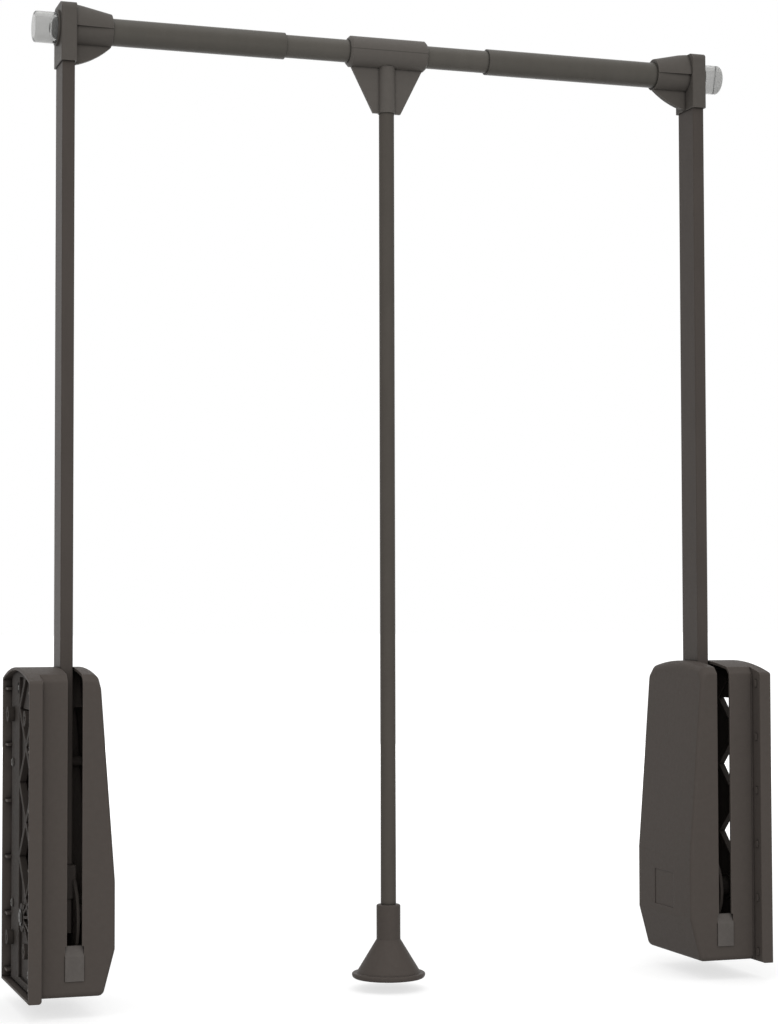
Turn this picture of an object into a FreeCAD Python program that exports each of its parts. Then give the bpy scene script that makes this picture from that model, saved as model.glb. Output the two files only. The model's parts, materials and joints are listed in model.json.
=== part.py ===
"""Pull-down wardrobe lift: two panel housings, two swinging arms and a telescopic hanging bar.

+X points to the right side panel, -Y into the room and +Z up.  The origin lies midway between the
two housings, at mid depth, level with the underside of the pull handle.  Every side piece is made
for the right side, where outward is +X, and its left twin is the mirror image.
"""
import FreeCAD, Part
import math
import os

import Sketcher
from FreeCAD import Placement, Rotation, Vector

os.makedirs("parts", exist_ok=True)
doc = FreeCAD.newDocument("wardrobe_lift")

# Driving dimensions in millimetres, angles in degrees.
DIMENSIONS = {
    # overall layout
    "half_width": 342.5,
    "arm_inset": 41.0,
    "housing_lift": 6.0,
    "bar_height": 833.0,
    "pivot_height": 62.5,
    # housing shell
    "housing_height": 276.0,
    "arch_rise": 10.5,
    "flange_depth": 145.0,
    "flange_width": 11.3,
    "body_depth": 115.0,
    "body_lift": 1.4,
    "shoulder_drop": 11.0,
    "shell_wall": 2.5,
    "crown_offset": 21.1,
    "face_offset": 34.6,
    "foot_offset": 24.4,
    "slant_start": 96.5,
    "foot_chamfer_top": 40.0,
    "body_round": 3.0,
    "crown_round": 8.0,
    "foot_round": 5.0,
    "rim_round": 1.0,
    "rim_corner_round": 3.0,
    "rim_edge_round": 1.2,
    "rim_foot_round": 3.0,
    "foot_step_width": 1.6,
    "foot_step_rise": 0.6,
    "slot_width": 13.0,
    "slot_bottom": 44.0,
    "slot_back": 18.5,
    "clip_first": 9.8,
    "clip_last": 20.2,
    "clip_nub_rise": 1.2,
    "clip_rib": 2.0,
    "clip_nub_tall": 6.0,
    "clip_nub_width": 4.0,
    "recess_depth": 0.5,
    "recess_width": 40.0,
    "recess_tall": 33.0,
    "recess_rise": 0.5,
    # slot pad
    "pad_width": 16.0,
    "pad_bottom": 15.0,
    "pad_bevel_deep": 5.0,
    "pad_bevel_tall": 8.3,
    "pad_proud": 0.8,
    "pad_thick": 7.0,
    # base frame
    "base_recess": 5.8,
    "base_thick": 5.5,
    "rail_width": 6.0,
    "spine_front": 15.0,
    "lattice_start": 51.1,
    "lattice_pitch": 63.4,
    "lattice_angle": 42.8,
    "lattice_rib": 5.0,
    "infill_thick": 1.5,
    "infill_recess": 1.5,
    "fan_rib": 2.2,
    "fan_step": 17.8,
    "hub_radius": 12.0,
    "hub_arm_width": 12.0,
    "saddle_width": 10.0,
    "saddle_thick": 4.0,
    "saddle_inset": 29.0,
    "panel_hole_depth_spacing": 90.0,
    "panel_hole_low": 40.0,
    "panel_hole_high": 42.0,
    "panel_hole_radius": 2.5,
    "panel_boss_radius": 6.5,
    "panel_hole_pad_radius": 7.5,
    # housing screws
    "post_radius": 4.5,
    "post_pad_radius": 9.0,
    "post_screw_radius": 1.8,
    "post_screw_head_radius": 3.8,
    "post_screw_head": 2.3,
    "post_screw_grip": 12.0,
    "rear_post_depth": 45.0,
    "rear_post_low": 70.0,
    "rear_post_high": 84.0,
    "front_post_depth": 44.0,
    "front_post_height": 20.0,
    # pivot
    "pivot_radius": 5.0,
    "pivot_boss_radius": 9.0,
    "bush_wall": 2.0,
    "bush_flange": 0.7,
    "bush_flange_radius": 8.6,
    "pivot_end_gap": 0.5,
    "pivot_pin_overhang": 2.0,
    "pivot_clip_wall": 2.0,
    "pivot_clip_thick": 1.2,
    # arm
    "arm_thick": 11.0,
    "arm_depth": 33.0,
    "arm_wall": 1.5,
    "arm_tail": 13.0,
    "arm_edge_round": 1.4,
    "bracket_plate": 2.5,
    "bracket_disc_radius": 38.0,
    "bracket_reach": 45.0,
    "rivet_radius": 2.5,
    "rivet_head_radius": 4.5,
    "rivet_head": 1.2,
    "rivet_low": 28.0,
    "rivet_pitch": 10.0,
    # gas strut
    "crank_length": 24.0,
    "swing_angle": 92.0,
    "crank_pin_radius": 3.0,
    "crank_eye_radius": 7.0,
    "crank_head_radius": 5.0,
    "crank_head": 1.5,
    "strut_offset": 17.0,
    "strut_radius": 9.0,
    "strut_wall": 1.5,
    "strut_foot_gap": 16.0,
    "gas_rod_radius": 4.0,
    "gas_rod_length": 98.0,
    "piston_length": 7.0,
    "gland_length": 8.0,
    "yoke_thick": 12.0,
    "yoke_wall": 3.5,
    "yoke_slot_play": 1.1,
    "yoke_neck_wall": 2.0,
    "yoke_neck": 4.0,
    "top_pin_radius": 3.0,
    "top_pin_drop": 18.0,
    "top_pin_head_radius": 4.5,
    "top_pin_head": 1.5,
    "strut_eye_width": 8.0,
    "strut_eye_depth": 10.0,
    "strut_eye_reach": 5.0,
    "strut_eye_rise": 6.0,
    "eye_boss_wall": 2.5,
    # upright stop
    "stop_drop": 36.0,
    "stop_tall": 22.0,
    "stop_web": 2.5,
    "stop_thick": 5.0,
    "stop_margin": 1.0,
    # elbow
    "elbow_width": 13.6,
    "elbow_depth": 39.0,
    "elbow_rise": 20.5,
    "elbow_drop": 32.0,
    "elbow_round": 7.0,
    "elbow_edge_round": 1.5,
    "elbow_wall": 3.0,
    "socket_length": 33.0,
    "socket_radius": 14.1,
    "hood_root_rise": 24.0,
    "hood_root_half_depth": 17.5,
    "hood_end_rise": 15.4,
    "hood_end_half_depth": 14.7,
    "gusset_thick": 5.0,
    "gusset_drop": 31.6,
    "gusset_radius": 72.0,
    "gusset_lean": 12.9,
    "seat_ring_wall": 2.0,
    "seat_ring_thick": 2.0,
    "spigot_radius": 9.5,
    "spigot_length": 7.5,
    "spigot_round": 6.0,
    "bumper_radius": 13.6,
    "bumper_length": 21.5,
    "bumper_round": 2.5,
    "elbow_screw_radius": 1.6,
    "elbow_screw_head_radius": 3.2,
    "elbow_screw_head": 1.8,
    "elbow_screw_height": 9.0,
    "grub_radius": 2.0,
    # bar
    "outer_tube_radius": 11.9,
    "outer_tube_wall": 1.0,
    "left_tube_end": 103.5,
    "right_tube_end": 91.3,
    "inner_tube_radius": 10.25,
    "inner_tube_wall": 1.2,
    "inner_tube_length": 392.0,
    "guide_length": 15.0,
    # tee and handle
    "tee_centre": -6.0,
    "tee_length": 74.4,
    "tee_radius": 14.1,
    "tee_end_chamfer": 2.0,
    "tee_drop": 55.2,
    "tee_socket_radius": 8.0,
    "fin_top_width": 69.6,
    "fin_bottom_width": 26.2,
    "fin_thick": 3.2,
    "rod_radius": 6.95,
    "rod_wall": 1.2,
    "rod_bottom": 40.0,
    "grip_top": 65.6,
    "grip_radius": 10.8,
    "grip_round": 1.5,
    "cone_top": 34.6,
    "cone_radius": 28.9,
    "rim_radius": 33.0,
    "rim_thick": 5.0,
    "rim_upper_round": 1.4,
    "rim_lower_round": 3.2,
    "grip_wall": 2.5,
    "small_screw_radius": 1.5,
    "small_screw_head_radius": 2.7,
    "small_screw_head": 1.4,
    "tee_screw_height": 10.0,
    "grip_screw_drop": 12.0,
    # clearances
    "fit_gap": 0.05,
    "running_gap": 0.3,
}


class Size:
    """A length that knows its number and the expression that binds a property to it."""

    def __init__(self, number, text):
        self.number = number
        self.text = text

    def __add__(self, other):
        other = as_size(other)
        return Size(self.number + other.number, f"({self.text} + {other.text})")

    def __sub__(self, other):
        other = as_size(other)
        return Size(self.number - other.number, f"({self.text} - {other.text})")

    def __mul__(self, other):
        other = as_size(other)
        return Size(self.number * other.number, f"({self.text} * {other.text})")

    def __truediv__(self, other):
        other = as_size(other)
        return Size(self.number / other.number, f"({self.text} / {other.text})")

    def __radd__(self, other):
        return as_size(other) + self

    def __rsub__(self, other):
        return as_size(other) - self

    def __rmul__(self, other):
        return as_size(other) * self

    def __neg__(self):
        return as_size(0) - self


def as_size(value):
    """Turns a plain number into a Size."""
    if isinstance(value, Size):
        return value
    return Size(float(value), f"({float(value)})")


def sine(angle):
    """Sine of an angle in degrees."""
    return Size(math.sin(math.radians(angle.number)), f"sin({angle.text})")


def cosine(angle):
    """Cosine of an angle in degrees."""
    return Size(math.cos(math.radians(angle.number)), f"cos({angle.text})")


def write_sheet():
    """Puts the driving dimensions in a sheet and gives back one Size for each alias."""
    sheet = doc.addObject("Spreadsheet::Sheet", "Sizes")
    sizes = {}
    for row, (alias, value) in enumerate(DIMENSIONS.items(), start=1):
        sheet.set(f"A{row}", alias)
        sheet.set(f"B{row}", str(value))
        sheet.setAlias(f"B{row}", alias)
        sizes[alias] = Size(value, f"Sizes.{alias}")
    doc.recompute()
    return sizes


class Names:
    """The sheet's sizes by name."""


S = Names()
vars(S).update(write_sheet())
nodes = {}

TURNS = {
    "x": Rotation(Vector(0, 1, 0), 90),
    "y": Rotation(Vector(1, 0, 0), -90),
    "z": Rotation(),
}


# ---------------------------------------------------------------- building blocks

def bind(feature, **sizes):
    """Binds each named property of a feature to a size."""
    for name, size in sizes.items():
        feature.setExpression(name, as_size(size).text)


def put(feature, x, y, z, turn=Rotation()):
    """Turns a feature and binds its base point."""
    feature.Placement = Placement(Vector(0, 0, 0), turn)
    for axis, size in zip("xyz", (x, y, z)):
        feature.setExpression(f"Placement.Base.{axis}", as_size(size).text)


def box(name, x_range, y_range, z_range):
    """A box between two limits on each axis."""
    feature = doc.addObject("Part::Box", name)
    spans = [as_size(high) - low for low, high in (x_range, y_range, z_range)]
    bind(feature, Length=spans[0], Width=spans[1], Height=spans[2])
    put(feature, x_range[0], y_range[0], z_range[0])
    return feature


def cylinder(name, axis, start, radius, length):
    """A cylinder that runs along an axis from its start point."""
    feature = doc.addObject("Part::Cylinder", name)
    bind(feature, Radius=radius, Height=length)
    put(feature, *start, turn=TURNS[axis])
    return feature


def cone(name, axis, start, start_radius, end_radius, length):
    """A cone that runs along an axis from its start point."""
    feature = doc.addObject("Part::Cone", name)
    bind(feature, Radius1=start_radius, Radius2=end_radius, Height=length)
    put(feature, *start, turn=TURNS[axis])
    return feature


def oval_cone(name, start, start_radii, end_radii, length):
    """A tapered bar of oval section along X; each section is given by its half height and half depth."""
    rings = []
    for row, (half_height, half_depth) in enumerate((start_radii, end_radii)):
        ring = doc.addObject("Part::Ellipse", f"{name}_ring_{row}")
        bind(ring, MajorRadius=half_height, MinorRadius=half_depth)
        put(ring, start[0] + length * row, start[1], start[2], turn=TURNS["x"])
        rings.append(ring)
    feature = doc.addObject("Part::Loft", name)
    feature.Sections = rings
    feature.Solid = True
    feature.Ruled = True
    return feature


def fuse(name, pieces):
    """One solid, or a set of separate solids, from several pieces."""
    feature = doc.addObject("Part::MultiFuse", name)
    feature.Shapes = pieces
    return feature


def common(name, pieces):
    """What several pieces have in common."""
    feature = doc.addObject("Part::MultiCommon", name)
    feature.Shapes = pieces
    return feature


def cut(name, base, tools):
    """A base less each of its tools in turn."""
    feature = base
    for row, tool in enumerate(tools):
        step = doc.addObject("Part::Cut", f"{name}_cut_{row}")
        step.Base = feature
        step.Tool = tool
        feature = step
    return feature


def tube(name, axis, start, outer_radius, inner_radius, length):
    """A round tube that runs along an axis from its start point."""
    outside = cylinder(name + "_outside", axis, start, outer_radius, length)
    inside = cylinder(name + "_inside", axis, start, inner_radius, length)
    return cut(name, outside, [inside])


def prism(name, plane, outline, start, length):
    """A padded outline.  The plane is XY, XZ or YZ, and the pad grows along the third axis."""
    body = doc.addObject("PartDesign::Body", name)
    sketch = body.newObject("Sketcher::SketchObject", name + "_sketch")
    role = plane + "_Plane"
    support = [feature for feature in body.Origin.OriginFeatures if feature.Role == role][0]
    sketch.AttachmentSupport = [(support, "")]
    sketch.MapMode = "FlatFace"
    outline = [(as_size(across), as_size(up)) for across, up in outline]
    corners = [Vector(across.number, up.number, 0) for across, up in outline]
    for index, corner in enumerate(corners):
        sketch.addGeometry(Part.LineSegment(corner, corners[(index + 1) % len(corners)]))
    for index in range(len(corners)):
        following = (index + 1) % len(corners)
        sketch.addConstraint(Sketcher.Constraint("Coincident", index, 2, following, 1))
    for index, (across, up) in enumerate(outline):
        for kind, size in (("DistanceX", across), ("DistanceY", up)):
            row = sketch.addConstraint(Sketcher.Constraint(kind, -1, 1, index, 1, size.number))
            sketch.setExpression(f"Constraints[{row}]", size.text)
    pad = body.newObject("PartDesign::Pad", name + "_pad")
    pad.Profile = sketch
    pad.Reversed = plane == "XZ"
    bind(pad, Length=length)
    shift = {"XY": (0, 0, start), "XZ": (0, start, 0), "YZ": (start, 0, 0)}[plane]
    put(body, *shift)
    return body


def fillet(name, base, radius_of):
    """Rounds each edge of the base by radius_of(edge), which is None for an edge that stays sharp."""
    doc.recompute()
    feature = doc.addObject("Part::Fillet", name)
    feature.Base = base
    rows = []
    for index, edge in enumerate(base.Shape.Edges, start=1):
        radius = radius_of(edge)
        if radius:
            rows.append((index, radius.number, radius.number))
    feature.Edges = rows
    return feature


def near(first, second):
    """True where two numbers agree to a hundredth of a millimetre."""
    return abs(first - second) < 0.01


def keep(label, feature):
    """Makes a feature a sub-part of its own."""
    feature.Label = label
    nodes[label] = feature


def keep_pair(label, feature):
    """Keeps a right-hand piece and its mirror image on the left."""
    keep("right_" + label, feature)
    twin = doc.addObject("Part::Mirroring", label + "_twin")
    twin.Source = feature
    twin.Normal = Vector(1, 0, 0)
    keep("left_" + label, twin)


# ---------------------------------------------------------------- shared planes and points

PANEL = S.half_width
ARM = S.half_width - S.arm_inset
LEDGE = PANEL - S.flange_width
FLOOR = S.housing_lift
CROWN = FLOOR + S.housing_height
PIVOT_Z = FLOOR + S.pivot_height
BAR_Z = FLOOR + S.bar_height
BODY_HALF = S.body_depth / 2
FLANGE_HALF = S.flange_depth / 2
WEB_OUT = PANEL - S.base_recess
WEB_IN = WEB_OUT - S.base_thick
ARM_HALF = S.arm_thick / 2
PLATE_OUT = ARM_HALF + S.bracket_plate
ARCH_RADIUS = (FLANGE_HALF * FLANGE_HALF + S.arch_rise * S.arch_rise) / (2 * S.arch_rise)
STRUT_X = ARM + S.strut_offset
HALF_SWING = S.swing_angle / 2
CRANK_NEAR = S.crank_length * cosine(HALF_SWING)
CRANK_DROP = S.crank_length * sine(HALF_SWING)
STRUT_Y = (S.crank_length + CRANK_NEAR) / 2
YOKE_PLAY = S.crank_pin_radius + S.yoke_slot_play
YOKE_TOP = PIVOT_Z - CRANK_DROP + YOKE_PLAY + S.yoke_wall
STRUT_BOTTOM = YOKE_TOP + 2 * CRANK_DROP + S.yoke_neck + S.strut_foot_gap
TOP_PIN_Z = CROWN - S.top_pin_drop
STRUT_TOP = TOP_PIN_Z - S.strut_eye_rise
ELBOW_HALF = S.elbow_width / 2
ELBOW_FACE = ARM + ELBOW_HALF
SOCKET_ROOT = ARM - ELBOW_HALF
SOCKET_END = SOCKET_ROOT - S.socket_length
ARM_TOP = BAR_Z - S.outer_tube_radius - S.elbow_wall
# Shares, and lengths that only reach past a face that a cut or a joint has to clear.
HEAD_TAPER = 0.6
CORNER_SHIFT = math.sqrt(2) - 1
OVERSHOOT = 2.0
OVERLAP = 1.0
LATTICE_ROWS = 3
FAN_RIBS = 5
POSTS = [
    (S.rear_post_depth, FLOOR + S.rear_post_low),
    (S.rear_post_depth, CROWN - S.rear_post_high),
    (-S.front_post_depth, FLOOR + S.front_post_height),
]
CLIP_COUNT = 6


def panel_holes():
    """Depth and height of each panel screw hole."""
    half = S.panel_hole_depth_spacing / 2
    heights = (FLOOR + S.panel_hole_low, CROWN - S.panel_hole_high)
    return [(side * half, height) for side in (-1, 1) for height in heights]


# ---------------------------------------------------------------- housing

def arch(name, inset, x_range):
    """The cylinder whose top is the arched top of the housing, less an inset."""
    start = (x_range[0], 0, CROWN - ARCH_RADIUS)
    return cylinder(name, "x", start, ARCH_RADIUS - inset, as_size(x_range[1]) - x_range[0])


def section_block(name, inset, x_range):
    """The side view of the housing body, less an inset, padded between two planes.

    The bevel at 45 degrees over each shoulder runs on past the arch, which trims it.
    """
    half = BODY_HALF - inset
    bottom = FLOOR + S.body_lift + inset
    shoulder = CROWN - S.shoulder_drop - inset * CORNER_SHIFT
    bevel = S.arch_rise + S.arch_rise
    outline = [
        (-half, bottom),
        (half, bottom),
        (half, shoulder),
        (half - bevel, shoulder + bevel),
        (bevel - half, shoulder + bevel),
        (-half, shoulder),
    ]
    side = prism(name + "_side", "YZ", outline, x_range[0], as_size(x_range[1]) - x_range[0])
    return common(name, [side, arch(name + "_arch", inset, x_range)])


def front_block(name, inset):
    """The front view of the housing body, less an inset, padded along the depth."""
    side = LEDGE + inset
    outline = [
        (side, FLOOR + S.body_lift + inset),
        (ARM - S.foot_offset + inset, FLOOR + S.body_lift + inset),
        (ARM - S.face_offset + inset, FLOOR + S.foot_chamfer_top),
        (ARM - S.face_offset + inset, FLOOR + S.slant_start),
        (ARM - S.crown_offset + inset, CROWN),
        (side, CROWN),
    ]
    return prism(name, "XZ", outline, -BODY_HALF, S.body_depth)


def body_block(name, inset):
    """The housing body as a solid, less an inset."""
    x_range = (ARM - S.face_offset - OVERSHOOT, LEDGE + inset)
    side = section_block(name + "_section", inset, x_range)
    return common(name, [side, front_block(name + "_front", inset)])


def flange_block(name, inset, x_range):
    """The wide rim at the side panel, less an inset."""
    half = FLANGE_HALF - inset
    plate = box(name + "_plate", x_range, (-half, half), (FLOOR + inset, CROWN))
    return common(name, [plate, arch(name + "_arch", inset, x_range)])


def clip_heights():
    """Heights of the clips along the rim."""
    pitch = (S.housing_height - S.clip_first - S.clip_last) / (CLIP_COUNT - 1)
    return [FLOOR + S.clip_first + pitch * row for row in range(CLIP_COUNT)]


def shell_insides():
    """Posts, pivot boss, stop web and rim ribs, still reaching past the shell's outside."""
    inner = ARM - S.face_offset - OVERSHOOT
    pieces = []
    for index, (depth, height) in enumerate(POSTS):
        start = (inner, depth, height)
        pieces.append(cylinder(f"post_{index}", "x", start, S.post_radius, WEB_IN - inner))
    boss_end = ARM - PLATE_OUT - S.bush_flange - S.pivot_end_gap
    pieces.append(cylinder("shell_boss", "x", (inner, 0, PIVOT_Z), S.pivot_boss_radius, boss_end - inner))
    web_front = S.arm_depth / 2 + S.running_gap + S.stop_thick
    web_range = (web_front, web_front + S.stop_web)
    pieces.append(box("stop_web", (inner, ARM + PLATE_OUT), web_range, (CROWN - S.stop_drop, CROWN)))
    rib_roots = (LEDGE + S.shell_wall / 2, PANEL - OVERSHOOT)
    near_body = BODY_HALF - S.shell_wall
    for row, height in enumerate(clip_heights()):
        rib = (height - S.clip_rib / 2, height + S.clip_rib / 2)
        pieces.append(box(f"front_rib_{row}", rib_roots, (-FLANGE_HALF, -near_body), rib))
        pieces.append(box(f"rear_rib_{row}", rib_roots, (near_body, FLANGE_HALF), rib))
    return fuse("shell_insides", pieces)


def clip_nubs():
    """Small nubs on both ledges of the rim, one for each clip."""
    middle = (BODY_HALF + FLANGE_HALF) / 2
    reach = (LEDGE - S.clip_nub_rise, LEDGE + S.shell_wall / 2)
    pieces = []
    for row, height in enumerate(clip_heights()):
        tall = (height - S.clip_nub_tall / 2, height + S.clip_nub_tall / 2)
        for side in (-1, 1):
            centre = middle * side
            width = (centre - S.clip_nub_width / 2, centre + S.clip_nub_width / 2)
            pieces.append(box(f"nub_{row}_{side + 1}", reach, width, tall))
    return pieces


def housing_shell():
    """The moulded cover: a hollow body with a step at its foot, a wide open rim and a slot for the arm."""
    block = body_block("shell_block", 0)
    rim = flange_block("rim_block", 0, (LEDGE, PANEL))
    body_bottom = FLOOR + S.body_lift
    shoulder = CROWN - S.shoulder_drop - OVERLAP

    def body_rounding(edge):
        reach = edge.BoundBox
        if near(reach.XMin, LEDGE.number):
            return None
        if near(reach.ZMax, body_bottom.number):
            return S.foot_round
        if reach.ZMin > shoulder.number and reach.XMax < ARM.number:
            return S.crown_round
        return S.body_round

    def rim_rounding(edge):
        reach = edge.BoundBox
        if near(reach.XMin, PANEL.number):
            return S.rim_round
        if near(reach.XMax, LEDGE.number) and near(reach.ZMax, FLOOR.number):
            return S.rim_foot_round
        if near(reach.XMax, LEDGE.number) and near(reach.YMin, reach.YMax):
            return S.rim_edge_round
        is_corner = near(reach.YMin, reach.YMax) and near(reach.ZMin, reach.ZMax)
        return S.rim_corner_round if is_corner and reach.ZMin > shoulder.number else None

    step_y = (-BODY_HALF - S.foot_step_rise, BODY_HALF + S.foot_step_rise)
    outside = fuse("shell_outside", [
        fillet("body_rounded", block, body_rounding),
        fillet("rim_rounded", rim, rim_rounding),
        box("foot_step", (LEDGE - S.foot_step_width, LEDGE + OVERLAP), step_y, (body_bottom, shoulder)),
    ])
    cavity = [
        body_block("shell_cavity", S.shell_wall),
        flange_block("rim_cavity", S.shell_wall, (LEDGE + S.shell_wall, PANEL + OVERSHOOT)),
    ]
    hollow = cut("shell_hollow", outside, cavity)
    insides = common("shell_trimmed_insides", [shell_insides(), outside])
    front = -BODY_HALF - OVERSHOOT
    slot_half = S.slot_width / 2
    slot_x = (ARM - slot_half, ARM + slot_half)
    slot_bottom = FLOOR + S.slot_bottom
    pad_half = S.pad_width / 2
    notch_x = (ARM - pad_half, ARM + pad_half)
    notch_y = (front, -BODY_HALF + S.shell_wall + OVERSHOOT)
    face_x = ARM - S.face_offset
    bore = (face_x + S.shell_wall, 0, PIVOT_Z)
    recess_x = (face_x - OVERSHOOT, face_x + S.recess_depth)
    recess_y = (-S.recess_width / 2, S.recess_width / 2)
    recess_middle = PIVOT_Z + S.recess_rise
    recess_z = (recess_middle - S.recess_tall / 2, recess_middle + S.recess_tall / 2)
    cuts = [
        box("arm_slot", slot_x, (front, S.slot_back), (slot_bottom, CROWN + OVERSHOOT)),
        box("pad_notch", notch_x, notch_y, (FLOOR + S.pad_bottom, slot_bottom)),
        cylinder("shell_pivot_bore", "x", bore, S.pivot_radius + S.fit_gap, S.arm_inset),
        box("recess", recess_x, recess_y, recess_z),
    ]
    for index, (depth, height) in enumerate(POSTS):
        start = (WEB_IN - S.post_screw_grip, depth, height)
        radius = S.post_screw_radius + S.fit_gap
        cuts.append(cylinder(f"post_bore_{index}", "x", start, radius, S.post_screw_grip))
    moulding = fuse("shell_moulding", [hollow, insides] + clip_nubs())
    keep_pair("housing_shell", cut("housing_shell", moulding, cuts))


def slot_pad():
    """The rubber block under the slot that the lowered arm comes to rest on."""
    front = -BODY_HALF - S.pad_proud
    back = -BODY_HALF + S.pad_thick
    bottom = FLOOR + S.pad_bottom
    top = FLOOR + S.slot_bottom
    outline = [
        (front, bottom),
        (back, bottom),
        (back, top),
        (front + S.pad_bevel_deep, top),
        (front, top - S.pad_bevel_tall),
    ]
    keep_pair("slot_pad", prism("slot_pad", "YZ", outline, ARM - S.pad_width / 2, S.pad_width))


def lattice_rib(name, start_y, start_z, angle, length, width):
    """A flat rib in the web that starts at a point and leans from it towards the front."""
    feature = doc.addObject("Part::Box", name)
    bind(feature, Length=S.base_thick, Width=length, Height=width)
    heading = 180 - angle
    across = width / 2
    base_y = start_y + across * sine(heading)
    base_z = start_z - across * cosine(heading)
    put(feature, WEB_IN, base_y, base_z, turn=Rotation(Vector(1, 0, 0), heading.number))
    return feature


def lattice_window(row, start_x):
    """An open diamond of the lattice.  The top one is closed above its tip."""
    tip_z = lattice_tip(row)
    half_tall = S.lattice_pitch / 2
    half_wide = half_tall * cosine(S.lattice_angle) / sine(S.lattice_angle)
    outline = [
        (S.spine_front, tip_z),
        (S.spine_front - half_wide, tip_z - half_tall),
        (S.spine_front - 2 * half_wide, tip_z),
    ]
    if row < LATTICE_ROWS:
        outline.append((S.spine_front - half_wide, tip_z + half_tall))
    return prism(f"window_{row}", "YZ", outline, start_x, S.infill_thick)


def lattice_infill():
    """The thin plate between the ribs, open only inside the diamonds."""
    start_x = WEB_IN + S.infill_recess
    plate = section_block("infill_plate", S.shell_wall, (start_x, start_x + S.infill_thick))
    windows = [lattice_window(row, start_x) for row in range(1, LATTICE_ROWS + 1)]
    return cut("infill", plate, windows)


def lattice_tip(row):
    """Height of the point on the spine where two ribs of the lattice meet."""
    return PIVOT_Z + S.lattice_start + S.lattice_pitch * (row - 1)


def base_web():
    """The flat lattice of the base frame, before its bosses."""
    span = (WEB_IN, WEB_OUT)
    sheet = section_block("web_sheet", S.shell_wall, span)
    window = section_block("web_window", S.shell_wall + S.rail_width, span)
    spine_rear = BODY_HALF - S.shell_wall
    pieces = [
        cut("web_rails", sheet, [window]),
        box("spine", span, (S.spine_front, spine_rear), (FLOOR + S.body_lift, CROWN)),
        lattice_infill(),
    ]
    reach = (BODY_HALF + S.spine_front) / cosine(S.lattice_angle)
    for row in range(1, LATTICE_ROWS + 1):
        tip_z = lattice_tip(row)
        for lean in (-1, 1):
            name = f"lattice_{row}_{lean + 1}"
            rib = lattice_rib(name, S.spine_front, tip_z, S.lattice_angle * lean, reach, S.lattice_rib)
            pieces.append(rib)
    for row in range(FAN_RIBS):
        angle = S.lattice_angle - S.fan_step * row
        pieces.append(lattice_rib(f"fan_{row}", as_size(0), PIVOT_Z, angle, reach, S.fan_rib))
    for index, (depth, height) in enumerate(panel_holes()):
        start = (WEB_IN, depth, height)
        pieces.append(cylinder(f"hole_pad_{index}", "x", start, S.panel_hole_pad_radius, S.base_thick))
    for index, (depth, height) in enumerate(POSTS):
        start = (WEB_IN, depth, height)
        pieces.append(cylinder(f"post_pad_{index}", "x", start, S.post_pad_radius, S.base_thick))
    outline = section_block("web_outline", S.shell_wall, span)
    return common("base_web", [fuse("web_pieces", pieces), outline])


def base_frame():
    """The frame that is screwed to the side panel and carries the pivot and the gas strut."""
    boss_start = ARM + PLATE_OUT + S.bush_flange + S.pivot_end_gap
    boss_length = WEB_IN + S.base_thick / 2 - boss_start
    eye_z = TOP_PIN_Z
    eye_start = STRUT_X + S.strut_eye_width / 2 + S.running_gap
    eye_radius = S.top_pin_radius + S.eye_boss_wall
    arm_half = S.hub_arm_width / 2
    arm_z = (PIVOT_Z - arm_half, PIVOT_Z + arm_half)
    pieces = [
        base_web(),
        cylinder("hub", "x", (WEB_IN, 0, PIVOT_Z), S.hub_radius, S.base_thick),
        cylinder("base_boss", "x", (boss_start, 0, PIVOT_Z), S.pivot_boss_radius, boss_length),
        box("hub_arm", (WEB_IN, WEB_OUT), (0, S.spine_front + OVERLAP), arm_z),
        cylinder("eye_boss", "x", (eye_start, STRUT_Y, eye_z), eye_radius, WEB_IN - eye_start + OVERLAP),
    ]
    saddle_x = (STRUT_X + S.strut_radius / 2, WEB_IN + S.base_thick / 2)
    saddle_y = (STRUT_Y - S.saddle_width / 2, STRUT_Y + S.saddle_width / 2)
    saddle_heights = (STRUT_BOTTOM + S.saddle_inset, STRUT_TOP - S.saddle_inset)
    for row, height in enumerate(saddle_heights):
        saddle_z = (height - S.saddle_thick / 2, height + S.saddle_thick / 2)
        pieces.append(box(f"saddle_{row}", saddle_x, saddle_y, saddle_z))
    for index, (depth, height) in enumerate(panel_holes()):
        start = (WEB_OUT - OVERLAP, depth, height)
        length = S.base_recess + OVERLAP
        pieces.append(cylinder(f"panel_boss_{index}", "x", start, S.panel_boss_radius, length))
    strut_start = (STRUT_X, STRUT_Y, STRUT_BOTTOM)
    cuts = [
        cylinder("hub_bore", "x", (ARM, 0, PIVOT_Z), S.pivot_radius + S.fit_gap, S.arm_inset),
        cylinder("eye_bore", "x", (ARM, STRUT_Y, eye_z), S.top_pin_radius + S.fit_gap, S.arm_inset),
        cylinder("strut_room", "z", strut_start, S.strut_radius + S.fit_gap, STRUT_TOP - STRUT_BOTTOM),
    ]
    for index, (depth, height) in enumerate(panel_holes()):
        start = (WEB_IN - OVERSHOOT, depth, height)
        length = S.base_thick + S.base_recess + 2 * OVERSHOOT
        cuts.append(cylinder(f"panel_hole_{index}", "x", start, S.panel_hole_radius, length))
    for index, (depth, height) in enumerate(POSTS):
        start = (WEB_IN - OVERSHOOT, depth, height)
        radius = S.post_screw_radius + S.fit_gap
        cuts.append(cylinder(f"screw_hole_{index}", "x", start, radius, S.base_thick + 2 * OVERSHOOT))
    keep_pair("base_frame", cut("base_frame", fuse("base_pieces", pieces), cuts))


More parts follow.
